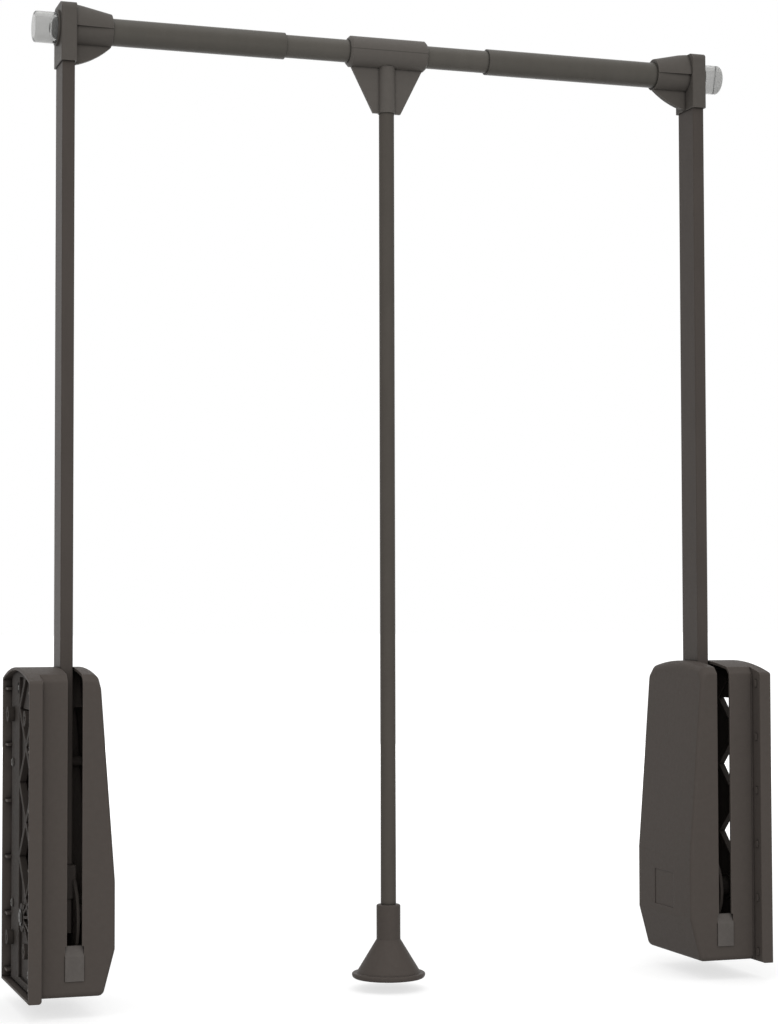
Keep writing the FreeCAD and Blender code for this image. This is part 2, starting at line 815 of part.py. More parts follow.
def housing_screws():
    """The screws that hold the shell's posts to the base frame."""
    pieces = []
    for index, (depth, height) in enumerate(POSTS):
        shank = (WEB_IN - S.post_screw_grip, depth, height)
        length = S.post_screw_grip + S.base_thick + OVERLAP
        pieces.append(cylinder(f"screw_shank_{index}", "x", shank, S.post_screw_radius, length))
        head = (WEB_OUT, depth, height)
        wide = S.post_screw_head_radius
        pieces.append(cone(f"screw_head_{index}", "x", head, wide, wide * HEAD_TAPER, S.post_screw_head))
    keep_pair("housing_screws", fuse("housing_screws", pieces))


def upright_stop():
    """The rubber block behind the arm that the raised arm leans on."""
    front = S.arm_depth / 2 + S.running_gap
    bottom = CROWN - S.stop_drop + S.stop_margin
    block = box("upright_stop", (ARM - ARM_HALF, ARM + ARM_HALF), (front, front + S.stop_thick),
                (bottom, bottom + S.stop_tall))
    keep_pair("upright_stop", block)


# ---------------------------------------------------------------- pivot and arm

def pivot_pin():
    """The pin that the arm turns on, held by the shell and the base frame."""
    start = ARM - S.face_offset + S.shell_wall
    length = WEB_OUT + S.pivot_pin_overhang - start
    keep_pair("pivot_pin", cylinder("pivot_pin", "x", (start, 0, PIVOT_Z), S.pivot_radius, length))
    ring_bore = S.pivot_radius + S.fit_gap
    ring = tube("pivot_clip", "x", (WEB_OUT, 0, PIVOT_Z), ring_bore + S.pivot_clip_wall, ring_bore,
                S.pivot_clip_thick)
    keep_pair("pivot_clip", ring)


def pivot_bush():
    """The flanged bush between the pin and the arm."""
    half = PLATE_OUT
    flange = S.bush_flange
    sleeve_radius = S.pivot_radius + S.bush_wall
    pieces = [cylinder("bush_sleeve", "x", (ARM - half, 0, PIVOT_Z), sleeve_radius, half * 2)]
    for index, start_x in enumerate((ARM - half - flange, ARM + half)):
        start = (start_x, 0, PIVOT_Z)
        pieces.append(cylinder(f"bush_flange_{index}", "x", start, S.bush_flange_radius, flange))
    bore_start = (ARM - half - OVERSHOOT, 0, PIVOT_Z)
    bore = cylinder("bush_bore", "x", bore_start, S.pivot_radius + S.fit_gap, half * 2 + 2 * OVERSHOOT)
    keep_pair("pivot_bush", cut("pivot_bush", fuse("bush_pieces", pieces), [bore]))


def rivet_heights():
    """Heights of the two rivets through the bracket."""
    low = PIVOT_Z + S.rivet_low
    return [low, low + S.rivet_pitch]


def arm_bores(name):
    """Holes for the pivot bush and the rivets, through the arm and its bracket."""
    start = ARM - PLATE_OUT - OVERSHOOT
    length = 2 * PLATE_OUT + 2 * OVERSHOOT
    radius = S.pivot_radius + S.bush_wall
    bores = [cylinder(name + "_bush_bore", "x", (start, 0, PIVOT_Z), radius, length)]
    for index, height in enumerate(rivet_heights()):
        centre = (start, 0, height)
        bores.append(cylinder(f"{name}_rivet_bore_{index}", "x", centre, S.rivet_radius, length))
    return bores


def arm_tube():
    """The flat tube between the pivot and the elbow."""
    half = ARM_HALF
    deep = S.arm_depth / 2
    ends = (PIVOT_Z - S.arm_tail, ARM_TOP)
    outside = box("arm_outside", (ARM - half, ARM + half), (-deep, deep), ends)

    def rounding(edge):
        return S.arm_edge_round if edge.Length > S.arm_depth.number + OVERLAP else None

    rounded = fillet("arm_rounded", outside, rounding)
    wall = S.arm_wall
    inside = box("arm_inside", (ARM - half + wall, ARM + half - wall), (wall - deep, deep - wall),
                 (ends[0] - OVERSHOOT, ends[1] + OVERSHOOT))
    keep_pair("arm_tube", cut("arm_tube", rounded, [inside] + arm_bores("arm")))


def arm_bracket():
    """The steel bracket around the arm's lower end, with the crank eye on its outer cheek."""
    deep = S.arm_depth / 2
    plate = S.bracket_plate
    inner_x = ARM - PLATE_OUT
    outer_x = ARM + ARM_HALF
    top = PIVOT_Z + S.bracket_reach
    pieces = []
    for index, start in enumerate((inner_x, outer_x)):
        disc = (start, 0, PIVOT_Z)
        span = (start, start + plate)
        pieces.append(cylinder(f"cheek_disc_{index}", "x", disc, S.bracket_disc_radius, plate))
        pieces.append(box(f"cheek_plate_{index}", span, (-deep - plate, deep), (PIVOT_Z, top)))
    front_z = (PIVOT_Z + deep, top)
    pieces.append(box("bracket_front", (inner_x, outer_x + plate), (-deep - plate, -deep), front_z))
    eye = (outer_x, CRANK_NEAR, PIVOT_Z - CRANK_DROP)
    pieces.append(cylinder("crank_eye", "x", eye, S.crank_eye_radius, plate))
    crank_bore = cylinder("crank_eye_bore", "x", eye, S.crank_pin_radius + S.fit_gap, plate)
    keep_pair("arm_bracket", cut("arm_bracket", fuse("bracket_pieces", pieces),
                                 arm_bores("bracket") + [crank_bore]))


def arm_rivets():
    """Two rivets that hold the arm in its bracket."""
    start = ARM - PLATE_OUT
    pieces = []
    shank_radius = S.rivet_radius - S.fit_gap
    for index, height in enumerate(rivet_heights()):
        shank = (start, 0, height)
        pieces.append(cylinder(f"rivet_shank_{index}", "x", shank, shank_radius, 2 * PLATE_OUT))
        near_head = (start - S.rivet_head, 0, height)
        pieces.append(cylinder(f"rivet_near_{index}", "x", near_head, S.rivet_head_radius, S.rivet_head))
        far_head = (ARM + PLATE_OUT, 0, height)
        pieces.append(cylinder(f"rivet_far_{index}", "x", far_head, S.rivet_head_radius, S.rivet_head))
    keep_pair("arm_rivets", fuse("arm_rivets", pieces))


# ---------------------------------------------------------------- gas strut

def crank_pin():
    """The headed pin on the bracket that drives the strut's yoke."""
    centre_z = PIVOT_Z - CRANK_DROP
    start = ARM + ARM_HALF
    yoke_out = STRUT_X + S.yoke_thick / 2
    head_x = yoke_out + S.running_gap
    pin = cylinder("crank_shank", "x", (start, CRANK_NEAR, centre_z), S.crank_pin_radius, head_x - start)
    head = cylinder("crank_head", "x", (head_x, CRANK_NEAR, centre_z), S.crank_head_radius, S.crank_head)
    keep_pair("crank_pin", fuse("crank_pin", [pin, head]))


def rod_yoke():
    """The slotted block that the crank pin moves up and down."""
    centre_z = PIVOT_Z - CRANK_DROP
    play = YOKE_PLAY
    half = (S.crank_length - CRANK_NEAR) / 2
    start = STRUT_X - S.yoke_thick / 2
    span = (start, start + S.yoke_thick)
    reach = half + play + S.yoke_wall
    tall = play + S.yoke_wall
    block = box("yoke_block", span, (STRUT_Y - reach, STRUT_Y + reach), (centre_z - tall, centre_z + tall))
    neck_start = (STRUT_X, STRUT_Y, YOKE_TOP - OVERLAP)
    neck_length = S.yoke_neck + OVERLAP
    neck = cylinder("yoke_neck", "z", neck_start, S.gas_rod_radius + S.yoke_neck_wall, neck_length)
    slot_length = S.yoke_thick + 2 * OVERSHOOT
    slot_x = (start - OVERSHOOT, start - OVERSHOOT + slot_length)
    slot_y = (STRUT_Y - half, STRUT_Y + half)
    cuts = [box("yoke_slot", slot_x, slot_y, (centre_z - play, centre_z + play))]
    for index, end_y in enumerate(slot_y):
        end = (start - OVERSHOOT, end_y, centre_z)
        cuts.append(cylinder(f"yoke_slot_end_{index}", "x", end, play, slot_length))
    cuts.append(cylinder("yoke_bore", "z", (STRUT_X, STRUT_Y, YOKE_TOP), S.gas_rod_radius, neck_length))
    keep_pair("rod_yoke", cut("rod_yoke", fuse("yoke_pieces", [block, neck]), cuts))


def gas_rod():
    """The strut's rod with its piston."""
    rod = cylinder("rod_shaft", "z", (STRUT_X, STRUT_Y, YOKE_TOP), S.gas_rod_radius, S.gas_rod_length)
    piston_start = (STRUT_X, STRUT_Y, YOKE_TOP + S.gas_rod_length)
    piston_radius = S.strut_radius - S.strut_wall - S.fit_gap
    piston = cylinder("piston", "z", piston_start, piston_radius, S.piston_length)
    keep_pair("gas_rod", fuse("gas_rod", [rod, piston]))


def gas_cylinder():
    """The strut's pressure tube, closed by a gland below and an eye above."""
    length = STRUT_TOP - STRUT_BOTTOM
    centre = (STRUT_X, STRUT_Y, STRUT_BOTTOM)
    outside = cylinder("strut_outside", "z", centre, S.strut_radius, length)
    eye_half = S.strut_eye_width / 2
    deep = S.strut_eye_depth / 2
    eye = box("strut_eye", (STRUT_X - eye_half, STRUT_X + eye_half), (STRUT_Y - deep, STRUT_Y + deep),
              (STRUT_TOP - OVERLAP, TOP_PIN_Z + S.strut_eye_reach))
    chamber_start = (STRUT_X, STRUT_Y, STRUT_BOTTOM + S.gland_length)
    chamber_length = length - 2 * S.gland_length
    eye_bore_radius = S.top_pin_radius + S.fit_gap
    cuts = [
        cylinder("strut_chamber", "z", chamber_start, S.strut_radius - S.strut_wall, chamber_length),
        cylinder("gland_bore", "z", centre, S.gas_rod_radius + S.fit_gap, S.gland_length + OVERLAP),
        cylinder("strut_eye_bore", "x", (ARM, STRUT_Y, TOP_PIN_Z), eye_bore_radius, S.arm_inset),
    ]
    keep_pair("gas_cylinder", cut("gas_cylinder", fuse("strut_pieces", [outside, eye]), cuts))


def strut_top_pin():
    """The pin that hangs the strut from the base frame."""
    start = STRUT_X - S.strut_eye_width / 2
    pin = cylinder("top_pin_shank", "x", (start, STRUT_Y, TOP_PIN_Z), S.top_pin_radius, WEB_OUT - start)
    head_start = (start - S.top_pin_head, STRUT_Y, TOP_PIN_Z)
    head = cylinder("top_pin_head", "x", head_start, S.top_pin_head_radius, S.top_pin_head)
    keep_pair("strut_top_pin", fuse("strut_top_pin", [pin, head]))


# ---------------------------------------------------------------- elbow and bumper

def elbow_box():
    """The upright socket of the elbow, with rounded top corners."""
    deep = S.elbow_depth / 2
    top = BAR_Z + S.elbow_rise
    block = box("elbow_block", (SOCKET_ROOT, ELBOW_FACE), (-deep, deep), (BAR_Z - S.elbow_drop, top))

    def rounding(edge):
        reach = edge.BoundBox
        if reach.YLength > S.elbow_wall.number:
            return None
        if near(reach.ZMin, top.number):
            return S.elbow_round
        return S.elbow_edge_round if near(reach.XMin, reach.XMax) else None

    return fillet("elbow_rounded", block, rounding)


def elbow():
    """The moulded corner between an arm and the bar, with its hood, gusset and bumper seat."""
    deep = S.elbow_depth / 2
    axis_start = (SOCKET_END, 0, BAR_Z)
    hood_end = (S.hood_end_rise, S.hood_end_half_depth)
    hood_root = (S.hood_root_rise, S.hood_root_half_depth)
    hood = oval_cone("hood_cone", axis_start, hood_end, hood_root, S.socket_length + ELBOW_HALF)
    hood_room = box("hood_room", (SOCKET_END, ARM), (-deep, deep), (BAR_Z, BAR_Z + S.elbow_rise))
    gusset_x = SOCKET_ROOT + S.gusset_radius * sine(S.gusset_lean)
    gusset_z = BAR_Z - S.gusset_drop + S.gusset_radius * cosine(S.gusset_lean)
    gusset_start = (gusset_x, -S.gusset_thick / 2, gusset_z)
    gusset = cylinder("gusset_disc", "y", gusset_start, S.gusset_radius, S.gusset_thick)
    gusset_room = box("gusset_room", (SOCKET_END, SOCKET_ROOT), (-deep, deep), (BAR_Z - deep * 2, BAR_Z))
    ring_radius = S.bumper_radius + S.fit_gap + S.seat_ring_wall
    face = (ELBOW_FACE, 0, BAR_Z)
    pieces = [
        elbow_box(),
        common("hood", [hood, hood_room]),
        cylinder("socket_outside", "x", axis_start, S.socket_radius, S.socket_length),
        common("gusset", [gusset, gusset_room]),
        tube("seat_ring", "x", face, ring_radius, S.bumper_radius + S.fit_gap, S.seat_ring_thick),
        spigot_form("spigot", 0),
    ]
    arm_x = (ARM - ARM_HALF, ARM + ARM_HALF)
    arm_y = (-S.arm_depth / 2, S.arm_depth / 2)
    tube_room = S.socket_length + ELBOW_HALF
    screw = (ARM, 0, BAR_Z - S.elbow_drop + S.elbow_screw_height)
    grub = (SOCKET_ROOT - S.socket_length / 2, 0, BAR_Z)
    reach = deep + OVERLAP
    cuts = [
        box("arm_socket", arm_x, arm_y, (BAR_Z - S.elbow_drop - OVERSHOOT, ARM_TOP)),
        cylinder("tube_socket", "x", axis_start, S.outer_tube_radius, tube_room),
        cylinder("elbow_screw_hole", "y", screw, S.elbow_screw_radius + S.fit_gap, reach),
        cylinder("grub_hole", "y", grub, S.grub_radius + S.fit_gap, reach),
    ]
    keep_pair("elbow", cut("elbow", fuse("elbow_pieces", pieces), cuts))


def elbow_screws():
    """The screw that holds the arm and the grub screw that holds the bar tube."""
    rear = S.elbow_depth / 2
    screw_z = BAR_Z - S.elbow_drop + S.elbow_screw_height
    arm_rear = S.arm_depth / 2
    start = (ARM, arm_rear, screw_z)
    shank = cylinder("elbow_screw_shank", "y", start, S.elbow_screw_radius, rear - arm_rear)
    wide = S.elbow_screw_head_radius
    head = cone("elbow_screw_head", "y", (ARM, rear, screw_z), wide, wide * HEAD_TAPER, S.elbow_screw_head)
    grub_x = SOCKET_ROOT - S.socket_length / 2
    grub_length = S.socket_radius - S.outer_tube_radius
    grub = cylinder("grub", "y", (grub_x, S.outer_tube_radius, BAR_Z), S.grub_radius, grub_length)
    keep_pair("elbow_screws", fuse("elbow_screws", [shank, head, grub]))


def spigot_form(name, growth):
    """The round-nosed spigot that the bumper is pressed on, or its bore when it is grown."""
    radius = S.spigot_radius + growth
    stem = cylinder(name + "_stem", "x", (ELBOW_FACE, 0, BAR_Z), radius, S.spigot_length)
    nose_x = (ELBOW_FACE + S.spigot_length).number

    def rounding(edge):
        return S.spigot_round if near(edge.BoundBox.XMin, nose_x) else None

    return fillet(name, stem, rounding)


def side_bumper():
    """The clear bumper on the outer side of the elbow."""
    block = cylinder("bumper_block", "x", (ELBOW_FACE, 0, BAR_Z), S.bumper_radius, S.bumper_length)
    end_x = (ELBOW_FACE + S.bumper_length).number

    def rounding(edge):
        return S.bumper_round if near(edge.BoundBox.XMin, end_x) else None

    rounded = fillet("bumper_rounded", block, rounding)
    keep_pair("side_bumper", cut("side_bumper", rounded, [spigot_form("bumper_bore", S.fit_gap)]))


# ---------------------------------------------------------------- telescopic bar

def outer_tube(side, end_x):
    """An outer bar tube and the guide bush in its mouth, on one side."""
    start = (end_x, 0, BAR_Z)
    inner_radius = S.outer_tube_radius - S.outer_tube_wall
    pipe = tube(side + "_pipe", "x", start, S.outer_tube_radius, inner_radius, ARM - end_x)
    guide_radius = S.inner_tube_radius + S.fit_gap
    guide = tube(side + "_guide", "x", start, inner_radius, guide_radius, S.guide_length)
    for label, piece in (("outer_tube", pipe), ("tube_guide", guide)):
        if side == "right":
            keep(f"right_{label}", piece)
        else:
            twin = doc.addObject("Part::Mirroring", f"left_{label}_twin")
            twin.Source = piece
            twin.Normal = Vector(1, 0, 0)
            keep(f"left_{label}", twin)


def inner_tube():
    """The inner bar tube that joins both outer tubes and carries the tee."""
    length = S.inner_tube_length
    start = (S.tee_centre - length / 2, 0, BAR_Z)
    inner_radius = S.inner_tube_radius - S.inner_tube_wall
    keep("inner_tube", tube("inner_pipe", "x", start, S.inner_tube_radius, inner_radius, length))


def tee_connector():
    """The sleeve that turns on the inner tube and holds the pull rod, with two fins."""
    start_x = S.tee_centre - S.tee_length / 2
    chamfer = S.tee_end_chamfer
    end_x = S.tee_centre + S.tee_length / 2
    small = S.tee_radius - chamfer
    bottom = BAR_Z - S.tee_drop
    fin_top = BAR_Z - S.inner_tube_radius - OVERSHOOT
    outline = [
        (S.tee_centre - S.fin_bottom_width / 2, bottom),
        (S.tee_centre + S.fin_bottom_width / 2, bottom),
        (S.tee_centre + S.fin_top_width / 2, fin_top),
        (S.tee_centre - S.fin_top_width / 2, fin_top),
    ]
    middle = (start_x + chamfer, 0, BAR_Z)
    pieces = [
        cylinder("tee_sleeve", "x", middle, S.tee_radius, S.tee_length - 2 * chamfer),
        cone("tee_left_end", "x", (start_x, 0, BAR_Z), small, S.tee_radius, chamfer),
        cone("tee_right_end", "x", (end_x - chamfer, 0, BAR_Z), S.tee_radius, small, chamfer),
        cylinder("tee_socket", "z", (S.tee_centre, 0, bottom), S.tee_socket_radius, fin_top - bottom),
        prism("tee_fins", "XZ", outline, -S.fin_thick / 2, S.fin_thick),
    ]
    bore_start = (start_x - OVERSHOOT, 0, BAR_Z)
    bore_length = S.tee_length + 2 * OVERSHOOT
    rod_start = (S.tee_centre, 0, bottom - OVERSHOOT)
    rod_length = S.tee_drop - S.tee_radius + OVERSHOOT
    cuts = [
        cylinder("tee_bore", "x", bore_start, S.inner_tube_radius + S.fit_gap, bore_length),
        cylinder("rod_socket", "z", rod_start, S.rod_radius, rod_length),
        screw_hole("tee_screw_hole", bottom + S.tee_screw_height, S.tee_radius),
    ]
    keep("tee_connector", cut("tee_connector", fuse("tee_pieces", pieces), cuts))


def tee_screw():
    """The small screw at the rear of the tee that holds the rod."""
    z = BAR_Z - S.tee_drop + S.tee_screw_height
    keep("tee_screw", small_screw("tee_screw", z, S.tee_socket_radius))


def screw_hole(name, z, reach):
    """The hole of a small screw, from the pull rod's axis to the rear."""
    return cylinder(name, "y", (S.tee_centre, 0, z), S.small_screw_radius + S.fit_gap, reach)


def small_screw(name, z, surface):
    """A screw from the rear that bears on the pull rod."""
    start = (S.tee_centre, S.rod_radius, z)
    seat = (S.tee_centre, surface, z)
    shank = cylinder(name + "_shank", "y", start, S.small_screw_radius, surface - S.rod_radius)
    head = cylinder(name + "_head", "y", seat, S.small_screw_head_radius, S.small_screw_head)
    return fuse(name, [shank, head])


# ---------------------------------------------------------------- pull handle

def handle_rod():
    """The thin tube between the tee and the grip."""
    start = (S.tee_centre, 0, S.rod_bottom)
    length = BAR_Z - S.tee_radius - S.rod_bottom
    keep("handle_rod", tube("rod_pipe", "z", start, S.rod_radius, S.rod_radius - S.rod_wall, length))


def handle_grip():
    """The hollow bell at the foot of the rod, with a rounded rim."""
    foot = (S.tee_centre, 0, 0)
    bead = cylinder("bead", "z", foot, S.rim_radius, S.rim_thick)

    def bead_rounding(edge):
        reach = edge.BoundBox
        if reach.ZLength > S.rim_thick.number / 2:
            return None
        return S.rim_lower_round if near(reach.ZMin, 0) else S.rim_upper_round

    def sleeve_rounding(edge):
        return S.grip_round if near(edge.BoundBox.ZMin, S.grip_top.number) else None

    cone_start = (S.tee_centre, 0, S.rim_thick)
    cone_tall = S.cone_top - S.rim_thick
    sleeve_start = (S.tee_centre, 0, S.cone_top)
    sleeve = cylinder("grip_sleeve", "z", sleeve_start, S.grip_radius, S.grip_top - S.cone_top)
    pieces = [
        fillet("bead_rounded", bead, bead_rounding),
        cone("bell", "z", cone_start, S.cone_radius, S.grip_radius, cone_tall),
        fillet("sleeve_rounded", sleeve, sleeve_rounding),
    ]
    rod_start = (S.tee_centre, 0, S.rod_bottom)
    rod_length = S.grip_top - S.rod_bottom + OVERSHOOT
    cuts = [
        cone("bell_room", "z", foot, S.cone_radius, S.rod_radius, S.cone_top - S.grip_wall),
        cylinder("grip_bore", "z", rod_start, S.rod_radius, rod_length),
        screw_hole("grip_screw_hole", S.grip_top - S.grip_screw_drop, S.rim_radius),
    ]
    keep("handle_grip", cut("handle_grip", fuse("grip_pieces", pieces), cuts))
    keep("grip_screw", small_screw("grip_screw", S.grip_top - S.grip_screw_drop, S.grip_radius))


# ---------------------------------------------------------------- the whole lift

housing_shell()
slot_pad()
base_frame()
housing_screws()
upright_stop()
pivot_pin()
pivot_bush()
arm_tube()
arm_bracket()
arm_rivets()
crank_pin()
rod_yoke()
gas_rod()
gas_cylinder()
strut_top_pin()
elbow()
elbow_screws()
side_bumper()
outer_tube("left", S.left_tube_end)
outer_tube("right", S.right_tube_end)
inner_tube()
tee_connector()
tee_screw()
handle_rod()
handle_grip()
doc.recompute()

faults = [item.Name for item in doc.Objects if {"Invalid", "Error"} & set(item.State)]
faults += [label for label, piece in nodes.items() if piece.Shape.isNull() or not piece.Shape.isValid()]
if faults:
    raise RuntimeError("failed objects: " + ", ".join(faults))

for label, piece in nodes.items():
    piece.Shape.exportStep(f"parts/{label}.step")
    print(label, len(piece.Shape.Solids), "solid(s),", round(piece.Shape.Volume / 1000, 2), "cm3")
print(len(nodes), "sub-parts")
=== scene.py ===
"""Looks of the pull-down wardrobe lift: camera, studio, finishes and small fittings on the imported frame.

Lengths are in metres in the frame's own axes: +X to the right side panel, -Y into the room, +Z up.
"""

import json
import math

import bmesh
import bpy
from mathutils import Matrix, Vector


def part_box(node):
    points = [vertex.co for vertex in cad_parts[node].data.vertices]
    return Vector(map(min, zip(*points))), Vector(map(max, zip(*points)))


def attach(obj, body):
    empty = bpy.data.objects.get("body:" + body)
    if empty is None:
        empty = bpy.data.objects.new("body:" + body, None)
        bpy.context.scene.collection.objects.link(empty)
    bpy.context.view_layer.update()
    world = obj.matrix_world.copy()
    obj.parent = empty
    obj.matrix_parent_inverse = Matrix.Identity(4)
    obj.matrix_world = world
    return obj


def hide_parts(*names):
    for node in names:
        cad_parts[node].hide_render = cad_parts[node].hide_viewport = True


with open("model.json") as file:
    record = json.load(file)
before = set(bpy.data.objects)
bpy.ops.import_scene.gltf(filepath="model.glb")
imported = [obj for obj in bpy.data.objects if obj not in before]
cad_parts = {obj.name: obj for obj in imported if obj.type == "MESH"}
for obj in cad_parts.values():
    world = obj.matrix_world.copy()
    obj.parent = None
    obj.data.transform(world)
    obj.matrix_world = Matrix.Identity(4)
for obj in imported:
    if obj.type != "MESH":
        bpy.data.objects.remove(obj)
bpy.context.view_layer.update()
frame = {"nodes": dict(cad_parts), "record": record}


# ---------------------------------------------------------------- camera

CAMERA_SPOT = (-0.6523, -1.9430, 0.3293)
CAMERA_YAW = 18.439  # degrees; it looks along +Y, turned to the right by this
CAMERA_PITCH = 2.515  # degrees upwards
CAMERA_ROLL = -0.146  # degrees
LENS = 79.36  # millimetres
SENSOR = 36.0  # millimetres, along the picture's longer side
CLIP_NEAR = 0.01
CLIP_FAR = 60.0


def make_camera():
    """The camera at the photograph's viewpoint."""
    data = bpy.data.cameras.new("camera")
    data.lens = LENS
    data.sensor_width = SENSOR
    data.clip_start = CLIP_NEAR
    data.clip_end = CLIP_FAR
    camera = bpy.data.objects.new("camera", data)
    bpy.context.scene.collection.objects.link(camera)
    camera.location = CAMERA_SPOT
    turn = Matrix.Rotation(math.radians(-CAMERA_YAW), 4, "Z")
    tilt = Matrix.Rotation(math.radians(90 + CAMERA_PITCH), 4, "X")
    roll = Matrix.Rotation(math.radians(CAMERA_ROLL), 4, "Z")
    camera.rotation_euler = (turn @ tilt @ roll).to_euler()
    bpy.context.scene.camera = camera


# ---------------------------------------------------------------- shader nodes

SHADER_SAMPLES = 6  # rays of a bevel or ambient occlusion node
MIX_DARK = 6  # the Mix node's sockets for two colours and their mix
MIX_LIGHT = 7
MIX_RESULT = 2
UNIT_RANGE = (0.0, 1.0)
NOISE_RANGE = (0.3, 0.7)  # where most of a noise pattern lies
EVEN = (1, 1, 1)  # a noise pattern that isn't stretched
# Reach and ranges of the painted shade in crevices and hollows, and of the painted highlight on outer edges.
CREVICE_REACH = 0.003
CREVICE_OPENNESS = (0.35, 0.90)  # from where the painted shade is full, to where there is none
HOLLOW_REACH = 0.025
HOLLOW_OPENNESS = (0.25, 0.50)  # likewise, for the painted shade in hollows
EDGE_REACH = 0.0009
FINE_EDGE_REACH = 0.0003
EDGE_COSINE = (0.80, 0.99)  # between the rounded and the plain normal, at a full edge and at none
EDGE_OPENNESS = (0.85, 0.97)  # of an inner edge and of an outer one
SEAM_REACH = (0.0002, 0.0005)  # from its middle to where it starts to fade, and to where it ends
SEAM_SHADE = 0.62
DUST_RANGE = (0.55, 0.75)  # the part of a noise pattern that makes specks of dust


class Tree:
    """Adds and joins the nodes of one node tree."""

    def __init__(self, tree):
        self.tree = tree

    def add(self, kind, *first, **named):
        """A new shader node, with its first inputs in their order, and settings and other inputs by name."""
        node = self.tree.nodes.new("ShaderNode" + kind)
        for name, value in named.items():
            if hasattr(node, name):
                setattr(node, name, value)
            else:
                self.feed(node, name, value)
        for row, value in enumerate(first):
            self.feed(node, row, value)
        return node

    def feed(self, node, name, value):
        """Sets an input to a number or a colour, or links a socket to it."""
        socket = node.inputs[name]
        if isinstance(value, bpy.types.NodeSocket):
            self.tree.links.new(value, socket)
        else:
            socket.default_value = value


def shown_share(tree):
    """1 for rays that show a background: to the camera, in a reflection or through the clear bumper."""
    path = tree.add("LightPath")
    share = path.outputs["Is Camera Ray"]
    for ray in ("Is Glossy Ray", "Is Transmission Ray"):
        share = tree.add("Math", share, path.outputs[ray], operation="MAXIMUM").outputs[0]
    return share


def spread(tree, value, low, high, source=NOISE_RANGE):
    """Maps a value from a source range to the range from low to high, and holds it there."""
    return tree.add("MapRange", value, *source, low, high).outputs[0]


def noise(tree, scale, detail=2.0, stretch=EVEN):
    """Noise in the object's own metres, at a scale per metre."""
    place = tree.add("TexCoord")
    mapping = tree.add("Mapping", Vector=place.outputs["Object"], Scale=stretch)
    return tree.add("TexNoise", Vector=mapping.outputs[0], Scale=scale, Detail=detail).outputs["Fac"]


def cloud(tree, scale, detail, stretch=EVEN):
    """Noise that runs the whole way from 0 to 1."""
    return spread(tree, noise(tree, scale, detail, stretch), 0.0, 1.0)


def scaled(colour, share):
    """A colour made lighter or darker."""
    return tuple(part * share for part in colour)


def tinted(tree, colour, factor, dark, light):
    """A colour between a darker and a lighter share of itself, by a factor."""
    mix = tree.add("Mix", factor, data_type="RGBA")
    tree.feed(mix, MIX_DARK, (*scaled(colour, dark), 1))
    tree.feed(mix, MIX_LIGHT, (*scaled(colour, light), 1))
    return mix.outputs[MIX_RESULT]


def times(tree, colour, factor):
    """A colour socket times a value."""
    return tree.add("VectorMath", colour, operation="SCALE", Scale=factor).outputs[0]


def rounded_edges(tree, reach):
    """Normals rounded over the edges, a mask for the painted highlight that is 1 on outer edges and 0
    elsewhere, and the openness of crevices for the painted shade.
    """
    bevel = tree.add("Bevel", samples=SHADER_SAMPLES, Radius=reach)
    plain = tree.add("NewGeometry")
    cosine = tree.add("VectorMath", bevel.outputs[0], plain.outputs["Normal"], operation="DOT_PRODUCT")
    crevice = tree.add("AmbientOcclusion", samples=SHADER_SAMPLES, Distance=CREVICE_REACH)
    openness = crevice.outputs["AO"]
    outer = spread(tree, openness, 0.0, 1.0, EDGE_OPENNESS)
    turned = spread(tree, cosine.outputs["Value"], 1.0, 0.0, EDGE_COSINE)
    edge = tree.add("Math", turned, outer, operation="MULTIPLY")
    return bevel.outputs[0], edge.outputs[0], openness


def feed_painted_highlight_and_shade(tree, surface, colour, reach, light, dark):
    """Feeds a colour with a painted highlight on outer edges and painted shade in crevices, and gives the
    rounded normals.
    """
    normal, edge, openness = rounded_edges(tree, reach)
    # Painted shade in crevices, times a painted highlight on outer edges.
    shade = spread(tree, openness, dark, 1.0, CREVICE_OPENNESS)
    gleam = spread(tree, edge, 1.0, light, UNIT_RANGE)
    factor = tree.add("Math", shade, gleam, operation="MULTIPLY")
    tree.feed(surface, "Base Color", times(tree, colour, factor.outputs[0]))
    return normal


def painted_hollow_shade(tree, colour, dark):
    """A colour with painted shade where the moulding closes round it, as inside a cover."""
    hollow = tree.add("AmbientOcclusion", samples=SHADER_SAMPLES, Distance=HOLLOW_REACH)
    return times(tree, colour, spread(tree, hollow.outputs["AO"], dark, 1.0, HOLLOW_OPENNESS))


def parted(tree, colour, height):
    """A colour with the thin dark line that two mould halves leave at a height."""
    place = tree.add("TexCoord")
    parts = tree.add("SeparateXYZ", place.outputs["Object"])
    offset = tree.add("Math", parts.outputs["Z"], height, operation="SUBTRACT")
    away = tree.add("Math", offset.outputs[0], operation="ABSOLUTE")
    return times(tree, colour, spread(tree, away.outputs[0], SEAM_SHADE, 1.0, SEAM_REACH))


def uneven(tree, surface, roughness, pattern, below=0.04, above=0.06):
    """Feeds a roughness that a pattern takes a little below and above its value."""
    tree.feed(surface, "Roughness", spread(tree, pattern, roughness - below, roughness + above))


def bumped(tree, surface, height, depth, normal):
    """Feeds a bump of a depth over a normal."""
    bump = tree.add("Bump", Strength=1.0, Distance=depth, Height=height, Normal=normal)
    tree.feed(surface, "Normal", bump.outputs[0])


# ---------------------------------------------------------------- studio

WHITE = (1, 1, 1, 1)
WORLD_LIGHT = 0.66  # strength of the world on the object; it shows at 1
FLOOR_HALF = 30.0
FLOOR_DROP = 0.010  # below the housings
FLOOR_LIT = 0.55  # what the floor gives back to the object
FLOOR_SEEN_NEAR = 1.5  # colours of its shaded look, near the object and far from it
FLOOR_SEEN_FAR = 2.4
FLOOR_DISTANCES = (0.6, 1.8)
SHADOW_SHARE = 0.35  # of the shaded look in what shows; the rest is plain white
OVERHEAD_AIM = (0, 0, 0.4)
FILL_AIM = (0, 0, 0.35)


